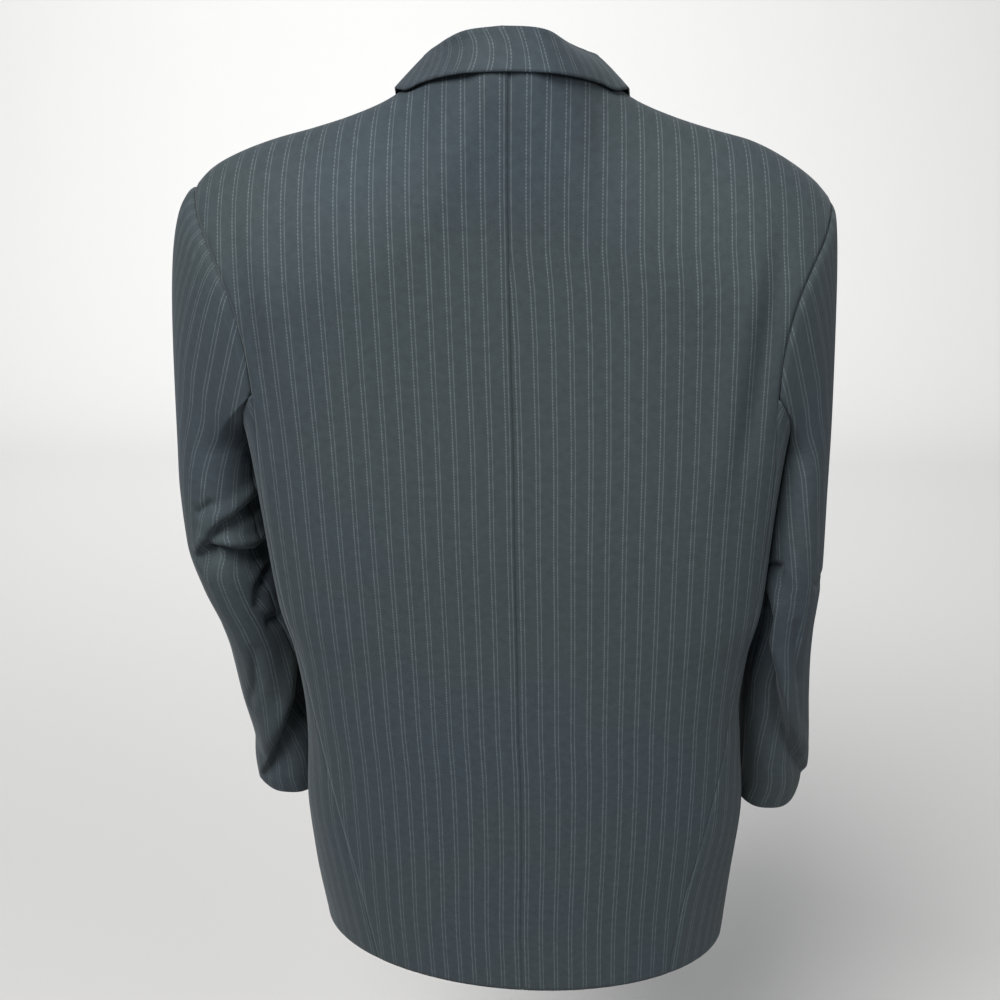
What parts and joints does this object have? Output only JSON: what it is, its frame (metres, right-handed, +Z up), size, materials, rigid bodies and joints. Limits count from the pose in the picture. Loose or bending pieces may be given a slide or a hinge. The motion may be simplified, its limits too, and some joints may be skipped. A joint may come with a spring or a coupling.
{
  "type": "three-button sport coat",
  "caption": "Single-breasted sport coat with notch lapels, flap pockets and open sleeves, hollow and shaped as worn.",
  "frame": {"origin": "The middle of the neck opening, level with the side of the neck, where the coat hangs on the wearer's shoulders.", "axes": "+Z up along the wearer's height, -Y out of the coat's front, +X towards the wearer's left sleeve."},
  "size_m": [0.5796, 0.287, 0.8582],
  "materials": {
    "suiting": "charcoal worsted wool twill with double pinstripes, soft low sheen",
    "button": "dark mottled button, satin polish"
  },
  "bodies": {
    "root": {"back_left": "suiting", "back_right": "suiting", "side_left": "suiting", "side_right": "suiting", "front_left": "suiting", "front_right": "suiting", "lapel_left": "suiting", "lapel_right": "suiting", "collar": "suiting", "sleeve_top_left": "suiting", "sleeve_under_left": "suiting", "sleeve_top_right": "suiting", "sleeve_under_right": "suiting", "flap_left": "suiting", "flap_right": "suiting", "breast_welt": "suiting", "button_1": "button", "button_2": "button", "button_3": "button"}
  },
  "joints": []
}
